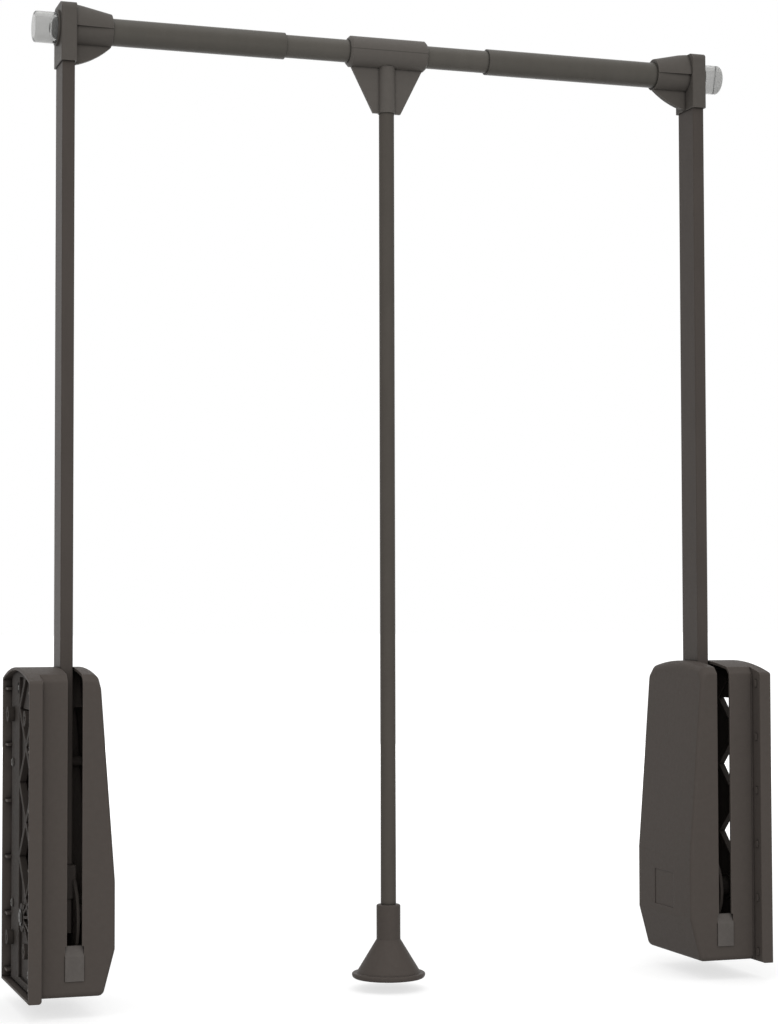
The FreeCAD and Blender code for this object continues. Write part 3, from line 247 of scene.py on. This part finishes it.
def make_world():
    """Even white light, with a pure white background."""
    world = bpy.data.worlds.new("studio")
    bpy.context.scene.world = world
    world.use_nodes = True
    tree = Tree(world.node_tree)
    background = world.node_tree.nodes["Background"]
    tree.feed(background, "Color", WHITE)
    tree.feed(background, "Strength", spread(tree, shown_share(tree), WORLD_LIGHT, 1.0, UNIT_RANGE))


def floor_white():
    """A white that stays white to the horizon where it is seen, with a share of its soft shadows."""
    material = bpy.data.materials.new("floor_white")
    material.use_nodes = True
    nodes = material.node_tree.nodes
    nodes.remove(nodes["Principled BSDF"])
    tree = Tree(material.node_tree)
    lit = tree.add("BsdfDiffuse", Color=(FLOOR_LIT, FLOOR_LIT, FLOOR_LIT, 1))
    place = tree.add("TexCoord")
    distance = tree.add("VectorMath", place.outputs["Object"], operation="LENGTH")
    level = spread(tree, distance.outputs["Value"], FLOOR_SEEN_NEAR, FLOOR_SEEN_FAR, FLOOR_DISTANCES)
    shaded = tree.add("BsdfDiffuse", Color=level)
    plain = tree.add("Emission", Color=WHITE, Strength=1.0)
    seen = tree.add("MixShader", SHADOW_SHARE, plain.outputs[0], shaded.outputs[0])
    chosen = tree.add("MixShader", shown_share(tree), lit.outputs[0], seen.outputs[0])
    tree.feed(nodes["Material Output"], "Surface", chosen.outputs[0])
    return material


def make_floor():
    """A wide floor, a little below the housings."""
    sheet = bmesh.new()
    bmesh.ops.create_grid(sheet, x_segments=1, y_segments=1, size=FLOOR_HALF)
    bmesh.ops.translate(sheet, verts=sheet.verts, vec=(0, 0, -FLOOR_DROP))
    mesh = bpy.data.meshes.new("floor")
    sheet.to_mesh(mesh)
    sheet.free()
    mesh.materials.append(floor_white())
    floor = bpy.data.objects.new("floor", mesh)
    bpy.context.scene.collection.objects.link(floor)


def make_lamp(name, spot, target, size, watts, in_gloss):
    """A square softbox that looks at a target; it may be left out of reflections and of clear plastic."""
    data = bpy.data.lights.new(name, "AREA")
    data.shape = "SQUARE"
    data.size = size
    data.energy = watts
    lamp = bpy.data.objects.new(name, data)
    bpy.context.scene.collection.objects.link(lamp)
    lamp.location = spot
    lamp.visible_glossy = in_gloss
    lamp.visible_transmission = in_gloss
    lamp.rotation_euler = (Vector(target) - Vector(spot)).to_track_quat("-Z", "Y").to_euler()


def make_lamps():
    """A softbox overhead, and two fills that lift the shadows without a highlight of their own."""
    make_lamp("overhead", spot=(0.0, -0.5, 2.7), target=OVERHEAD_AIM, size=1.8, watts=11.0, in_gloss=True)
    make_lamp("front_fill", spot=(-0.95, -3.35, 0.8), target=FILL_AIM, size=1.3, watts=32.0, in_gloss=False)
    make_lamp("rear_fill", spot=(0.9, 3.4, 1.1), target=FILL_AIM, size=2.2, watts=26.0, in_gloss=False)


# ---------------------------------------------------------------- finishes

def new_material(name, colour, roughness, metallic=0.0, specular=0.5):
    """A Principled material, the builder for its nodes, and its surface node."""
    material = bpy.data.materials.new(name)
    material.use_nodes = True
    tree = Tree(material.node_tree)
    surface = material.node_tree.nodes["Principled BSDF"]
    tree.feed(surface, "Base Color", (*colour, 1))
    tree.feed(surface, "Roughness", roughness)
    tree.feed(surface, "Metallic", metallic)
    tree.feed(surface, "Specular IOR Level", specular)
    return material, tree, surface


def moulded_plastic(name, colour, roughness, edge_light=1.35, specular=0.14, seam=None, hollow_shade=1.0):
    """Spark-eroded plastic: faint mottling, a fine even grain, a painted highlight on its edges, and painted
    shade in its crevices and, where asked, in its hollows.
    """
    material, tree, surface = new_material(name, colour, roughness, specular=specular)
    base = tinted(tree, colour, cloud(tree, scale=220.0, detail=3.0), dark=0.975, light=1.025)
    if seam is not None:
        base = parted(tree, base, seam)
    # Painted shade inside hollows, such as inside a housing.
    if hollow_shade < 1:
        base = painted_hollow_shade(tree, base, hollow_shade)
    # Painted highlight on the edges and painted shade in the crevices.
    normal = feed_painted_highlight_and_shade(tree, surface, base, EDGE_REACH, light=edge_light, dark=0.2)
    uneven(tree, surface, roughness, noise(tree, scale=400.0))
    bumped(tree, surface, noise(tree, scale=2600.0, detail=1.0), depth=0.00006, normal=normal)
    return material


def powder_coat(name, colour, roughness, specular):
    """Satin powder coat with a shallow orange peel."""
    material, tree, surface = new_material(name, colour, roughness, specular=specular)
    drift = cloud(tree, scale=90.0, detail=3.0, stretch=(1, 1, 0.3))
    base = tinted(tree, colour, drift, dark=0.96, light=1.04)
    # Painted highlight on the edges and painted shade in the crevices.
    normal = feed_painted_highlight_and_shade(tree, surface, base, EDGE_REACH, light=1.15, dark=0.25)
    uneven(tree, surface, roughness, noise(tree, scale=700.0))
    bumped(tree, surface, noise(tree, scale=900.0, detail=1.0), depth=0.00005, normal=normal)
    return material


def rubber(name, colour):
    """Matt rubber with a dusty bloom."""
    material, tree, surface = new_material(name, colour, roughness=0.72, specular=0.2)
    base = tinted(tree, colour, cloud(tree, scale=160.0, detail=5.0), dark=0.92, light=1.08)
    # Painted highlight on the edges and painted shade in the crevices.
    normal = feed_painted_highlight_and_shade(tree, surface, base, EDGE_REACH, light=1.25, dark=0.5)
    bumped(tree, surface, noise(tree, scale=1500.0), depth=0.00008, normal=normal)
    return material


def clear_polymer(name, colour, roughness):
    """Soft clear plastic, slightly milky, with a faint ripple."""
    material, tree, surface = new_material(name, colour, roughness)
    base = tinted(tree, colour, cloud(tree, scale=140.0, detail=3.0), dark=0.94, light=1.06)
    tree.feed(surface, "Base Color", base)
    tree.feed(surface, "Transmission Weight", 0.82)
    tree.feed(surface, "IOR", 1.2)
    uneven(tree, surface, roughness, noise(tree, scale=120.0), below=0.03, above=0.03)
    plain = tree.add("NewGeometry")
    bumped(tree, surface, noise(tree, scale=160.0, detail=1.0), depth=0.00002, normal=plain.outputs["Normal"])
    return material


def plated_steel(name, colour, roughness, grain=EVEN):
    """Plated or brushed steel with fine streaks and dull patches."""
    material, tree, surface = new_material(name, colour, roughness, metallic=1.0)
    base = tinted(tree, colour, cloud(tree, scale=110.0, detail=4.0), dark=0.84, light=1.0)
    # Painted highlight on the edges and painted shade in the crevices.
    normal = feed_painted_highlight_and_shade(tree, surface, base, FINE_EDGE_REACH, light=1.3, dark=0.5)
    streaks = noise(tree, scale=900.0, detail=3.0, stretch=grain)
    uneven(tree, surface, roughness, streaks, below=0.08, above=0.12)
    bumped(tree, surface, streaks, depth=0.00004, normal=normal)
    return material


def gloss_paint(name, colour):
    """Semi-gloss paint with fine dust in it."""
    material, tree, surface = new_material(name, colour, roughness=0.3, specular=0.4)
    dust = spread(tree, noise(tree, scale=1200.0), 0.0, 1.0, DUST_RANGE)
    base = tinted(tree, colour, dust, dark=1.0, light=1.8)
    # Painted highlight on the edges and painted shade in the crevices.
    normal = feed_painted_highlight_and_shade(tree, surface, base, FINE_EDGE_REACH, light=1.6, dark=0.5)
    bumped(tree, surface, noise(tree, scale=500.0), depth=0.00004, normal=normal)
    return material


# Colours are linear.
BROWN = (0.087, 0.0745, 0.0665)
BROWN_GREY = (0.096, 0.087, 0.078)
# Darker than the shell; the darkness is painted shade for the inside of the housings.
BROWN_BLACK = (0.043, 0.037, 0.033)
BLACK = (0.020, 0.020, 0.020)
TEE_BROWN = (0.108, 0.098, 0.088)
OUTER_TUBE_BROWN = (0.090, 0.083, 0.072)
INNER_TUBE_BROWN = (0.102, 0.094, 0.082)
PULL_ROD_BROWN = (0.090, 0.080, 0.070)
BUSH_GREY = (0.160, 0.155, 0.145)
RUBBER_GREY = (0.110, 0.099, 0.091)
MILKY = (0.45, 0.45, 0.44)
PIN_STEEL = (0.062, 0.058, 0.054)
SCREW_STEEL = (0.066, 0.062, 0.057)
BRIGHT_STEEL = (0.55, 0.55, 0.55)
ALONG_PINS = (0.1, 1, 1)  # stretches of the grain
ALONG_STRUT_RODS = (1, 1, 0.05)
FINISHES = {
    # hollow_shade paints shade inside the housings; edge_light is the strength of the painted edge highlight.
    "shell_plastic": moulded_plastic("shell_moulding", BROWN, roughness=0.48, edge_light=1.9, specular=0.03,
                                     hollow_shade=0.3),
    "frame_plastic": moulded_plastic("frame_moulding", BROWN_BLACK, roughness=0.6, edge_light=3.0,
                                     specular=0.03),
    "joint_plastic": moulded_plastic("joint_moulding", BROWN_GREY, roughness=0.42, edge_light=2.1,
                                     specular=0.06),
    "grip_plastic": moulded_plastic("grip_moulding", BROWN, roughness=0.40, specular=0.03),
    "yoke_plastic": moulded_plastic("yoke_moulding", BLACK, roughness=0.45),
    "bush_plastic": moulded_plastic("bush_moulding", BUSH_GREY, roughness=0.4),
    "slot_rubber": rubber("slot_rubber", RUBBER_GREY),
    "stop_rubber": rubber("stop_rubber", scaled(BLACK, 1.5)),
    "clear_bumper": clear_polymer("clear_bumper", MILKY, roughness=0.12),
    "arm_coating": powder_coat("arm_coating", scaled(BROWN, 0.88), roughness=0.42, specular=0.05),
    "bar_coating": powder_coat("bar_coating", OUTER_TUBE_BROWN, roughness=0.34, specular=0.14),
    "bracket_steel": powder_coat("bracket_coating", scaled(BROWN, 0.72), roughness=0.45, specular=0.14),
    "steel_pin": plated_steel("steel_pin", PIN_STEEL, roughness=0.46, grain=ALONG_PINS),
    "zinc_screw": plated_steel("zinc_screw", SCREW_STEEL, roughness=0.42),
    "strut_black": gloss_paint("strut_black", scaled(BLACK, 0.6)),
    "strut_rod": plated_steel("strut_rod", BRIGHT_STEEL, roughness=0.14, grain=ALONG_STRUT_RODS),
}

BAR_HEIGHT = sum(corner.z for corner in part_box("inner_tube")) / 2
OWN_FINISHES = {
    "tee_connector": moulded_plastic("tee_moulding", TEE_BROWN, roughness=0.42, specular=0.12,
                                     seam=BAR_HEIGHT),
    "inner_tube": powder_coat("inner_coating", INNER_TUBE_BROWN, roughness=0.34, specular=0.14),
    "handle_rod": powder_coat("rod_coating", PULL_ROD_BROWN, roughness=0.36, specular=0.03),
}
SLOT_OF = {subpart["node"]: subpart["material_slot"] for subpart in frame["record"]["subparts"]}


def dress_nodes():
    """Gives each CAD node the finish of its material slot, or its own."""
    for node, slot in SLOT_OF.items():
        finish = OWN_FINISHES.get(node, FINISHES[slot])
        for place in frame["nodes"][node].material_slots:
            place.material = finish


# ---------------------------------------------------------------- small fittings

SIDES = (("left", -1), ("right", 1))
ROUND_STEPS = 40
DOME_STEPS = 6
CAD_WELD = 1e-6
PIECE_WELD = 1e-7
HEIGHT_DIGITS = 5  # steps within a hundredth of a millimetre are one
SAME_RADIUS = 1e-5
SMOOTH_ANGLE = 32  # degrees

# Shares of a fitting's widest radius, of its head's height or of the radius of the end that they shape.
HEAD_RADIUS = 0.9  # wider than this, a step belongs to the head
SCREW_RIM = 0.25
RECESS_LENGTH = 1.15
RECESS_WIDTH = 0.28
RECESS_DEPTH = 0.55
RECESS_TAPER = 0.6
POINT_RADIUS = 0.7
POINT_HEIGHT = 0.4
SET_SCREW_CHAMFER = 0.15
SOCKET_RADIUS = 0.5
SOCKET_DEPTH = 0.6
RIVET_RIM = 0.15
RIVET_SHANK = 0.55
PIN_CHAMFER = 0.18
PIN_DRILLING = 0.3


def joined_places(first, left):
    """The places of the vertices that are joined to a first one; they come out of those left."""
    left.remove(first)
    front = [first]
    places = []
    while front:
        vertex = front.pop()
        places.append(vertex.co.copy())
        around = {edge.other_vert(vertex) for edge in vertex.link_edges} & left
        left -= around
        front.extend(around)
    return places


def loose_parts(node):
    """The vertex places of each loose part of a CAD node, in the order of its mesh."""
    shape = bmesh.new()
    shape.from_mesh(frame["nodes"][node].data)
    bmesh.ops.remove_doubles(shape, verts=shape.verts, dist=CAD_WELD)
    left = set(shape.verts)
    parts = [joined_places(first, left) for first in shape.verts if first in left]
    shape.free()
    return parts


class Turned:
    """A round CAD part, measured along its axis towards one end: a list of (height, radius) steps."""

    def __init__(self, places, axis):
        self.axis = Vector(axis)
        low = Vector([min(place[row] for place in places) for row in range(3)])
        high = Vector([max(place[row] for place in places) for row in range(3)])
        self.middle = (low + high) / 2
        heights = {}
        for place in places:
            offset = place - self.middle
            height = offset.dot(self.axis)
            radius = (offset - self.axis * height).length
            level = round(height, HEIGHT_DIGITS)
            heights[level] = max(heights.get(level, 0), radius)
        self.steps = sorted(heights.items())
        self.widest = max(heights.values())

    def matrix(self):
        """Turns +Z to the axis and moves the origin to the part's middle."""
        turn = self.axis.to_track_quat("Z", "Y").to_matrix().to_4x4()
        return Matrix.Translation(self.middle) @ turn


def lathed(profile):
    """A shape turned about Z from (radius, height) steps; a radius of 0 closes it."""
    shape = bmesh.new()
    rings = []
    for radius, height in profile:
        count = ROUND_STEPS if radius > 0 else 1
        angles = [2 * math.pi * step / count for step in range(count)]
        rings.append([shape.verts.new((radius * math.cos(a), radius * math.sin(a), height)) for a in angles])
    for lower, upper in zip(rings, rings[1:]):
        for step in range(ROUND_STEPS):
            after = (step + 1) % ROUND_STEPS
            corners = [lower[step % len(lower)], lower[after % len(lower)],
                       upper[after % len(upper)], upper[step % len(upper)]]
            shape.faces.new(dict.fromkeys(corners))  # at a closed end two corners are one, and count once
    return shape


def dome(radius, base, height, rim):
    """Profile steps of a low dome, from a short upright rim to its middle."""
    edge = base + height * rim
    rise = height * (1 - rim)
    arc = [math.pi / 2 * step / DOME_STEPS for step in range(DOME_STEPS)]
    curve = [(radius * math.cos(a), edge + rise * math.sin(a)) for a in arc]
    return [(radius, base), *curve, (0, edge + rise)]


def cross_recess(radius, top, depth):
    """The cutters of a cross recess: two blades that narrow towards the bottom."""
    blades = []
    for turn in (0, math.pi / 2):
        blade = bmesh.new()
        size = Matrix.Diagonal((radius * RECESS_LENGTH, radius * RECESS_WIDTH, depth * 2, 1))
        place = Matrix.Translation((0, 0, top)) @ Matrix.Rotation(turn, 4, "Z") @ size
        bmesh.ops.create_cube(blade, size=1.0, matrix=place)
        for vertex in blade.verts:
            if vertex.co.z < top:
                vertex.co.x *= RECESS_TAPER
                vertex.co.y *= RECESS_TAPER
        blades.append(blade)
    return blades


def hex_socket(radius, top, depth):
    """The cutter of a hexagon socket, in a list."""
    cutter = bmesh.new()
    bmesh.ops.create_cone(cutter, cap_ends=True, segments=6, radius1=radius, radius2=radius, depth=depth * 2,
                          matrix=Matrix.Translation((0, 0, top)))
    return [cutter]


def carved(shape, cutters=()):
    """A mesh of a shape less its cutters; it uses them all up."""
    objects = []
    for row, form in enumerate([shape, *cutters]):
        mesh = bpy.data.meshes.new(f"form_{row}")
        bmesh.ops.recalc_face_normals(form, faces=form.faces)
        form.to_mesh(mesh)
        form.free()
        objects.append(bpy.data.objects.new(f"form_{row}", mesh))
        bpy.context.scene.collection.objects.link(objects[-1])
    for cutter in objects[1:]:
        cut = objects[0].modifiers.new("cut", "BOOLEAN")
        cut.operation = "DIFFERENCE"
        cut.object = cutter
    bpy.context.view_layer.update()
    result = bpy.data.meshes.new_from_object(objects[0].evaluated_get(bpy.context.evaluated_depsgraph_get()))
    for form in objects:
        bpy.data.objects.remove(form)
    return result


def set_screw(radius, base, top):
    """A set screw with chamfered ends and a hexagon socket."""
    chamfer = radius * SET_SCREW_CHAMFER
    profile = [(0, base), (radius - chamfer, base), (radius, base + chamfer),
               (radius, top - chamfer), (radius - chamfer, top), (0, top)]
    return carved(lathed(profile), hex_socket(radius * SOCKET_RADIUS, top, radius * SOCKET_DEPTH))


def screw(part):
    """A screw with a domed head, a cross recess and a point, or a set screw where there is no head."""
    base, shank = part.steps[0]
    top = part.steps[-1][0]
    head_radius = part.widest * HEAD_RADIUS
    if shank > head_radius:
        return set_screw(part.widest, base, top)
    seat = min(height for height, radius in part.steps if radius > head_radius)
    point = [(0, base), (shank * POINT_RADIUS, base), (shank, base + shank * POINT_HEIGHT)]
    shape = lathed([*point, (shank, seat), *dome(part.widest, seat, top - seat, SCREW_RIM)])
    return carved(shape, cross_recess(part.widest, top, (top - seat) * RECESS_DEPTH))


def rivet(part):
    """A rivet with a domed head at each end."""
    foot, seat, *_, top = [height for height, radius in part.steps]
    head = seat - foot
    shank = part.widest * RIVET_SHANK
    upper = dome(part.widest, top - head, head, RIVET_RIM)
    lower = [(radius, -height) for radius, height in reversed(upper)]
    return carved(lathed([*lower, (shank, lower[-1][1]), (shank, upper[0][1]), *upper]))


def pin(part):
    """A pin with chamfered ends and a small centre drilling in its outer end."""
    foot, foot_radius = part.steps[0]
    top, top_radius = part.steps[-1]
    chamfer = min(foot_radius, top_radius) * PIN_CHAMFER
    profile = [(0, foot), (foot_radius - chamfer, foot), (foot_radius, foot + chamfer)]
    for (low, low_radius), (high, high_radius) in zip(part.steps, part.steps[1:]):
        if abs(low_radius - high_radius) > SAME_RADIUS:
            shoulder = low if high_radius > low_radius else high
            profile += [(low_radius, shoulder), (high_radius, shoulder)]
    drilling = top_radius * PIN_DRILLING
    profile += [(top_radius, top - chamfer), (top_radius - chamfer, top),
                (drilling, top), (0, top - drilling)]
    return carved(lathed(profile))


def body_of(node):
    """The CAD body that a node rides on."""
    bodies = frame["record"]["behaviour"]["bodies"]
    return next(body for body, nodes in bodies.items() if node in nodes)


def finish_piece(name, shape, body, slot, replaced):
    """Makes a riding, dressed piece from a shape, which it uses up."""
    bmesh.ops.remove_doubles(shape, verts=shape.verts, dist=PIECE_WELD)
    bmesh.ops.recalc_face_normals(shape, faces=shape.faces)
    mesh = bpy.data.meshes.new(name)
    shape.to_mesh(mesh)
    shape.free()
    mesh.shade_smooth()
    mesh.set_sharp_from_angle(angle=math.radians(SMOOTH_ANGLE))
    mesh.materials.append(FINISHES[slot])
    piece = bpy.data.objects.new(name, mesh)
    bpy.context.scene.collection.objects.link(piece)
    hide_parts(replaced)
    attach(piece, body)


def refit(node, build, axis, label):
    """Puts a detailed piece in the place of each loose part of a round CAD node."""
    joined = bmesh.new()
    for places in loose_parts(node):
        part = Turned(places, axis)
        mesh = build(part)
        mesh.transform(part.matrix())
        joined.from_mesh(mesh)
        bpy.data.meshes.remove(mesh)
    finish_piece(f"{node}_{label}", joined, body_of(node), SLOT_OF[node], replaced=node)


def make_fasteners():
    """Detailed screws, rivets and pins in place of the plain CAD ones."""
    for side, sign in SIDES:
        refit(f"{side}_housing_screws", screw, (sign, 0, 0), "cross")
        refit(f"{side}_elbow_screws", screw, (0, 1, 0), "cross")
        refit(f"{side}_arm_rivets", rivet, (sign, 0, 0), "domed")
        for name in ("pivot_pin", "crank_pin", "strut_top_pin"):
            refit(f"{side}_{name}", pin, (sign, 0, 0), "drilled")
    for node in ("tee_screw", "grip_screw"):
        refit(node, screw, (0, 1, 0), "cross")


make_camera()
make_world()
make_floor()
make_lamps()
dress_nodes()
make_fasteners()
bpy.context.scene.view_settings.view_transform = "Standard"
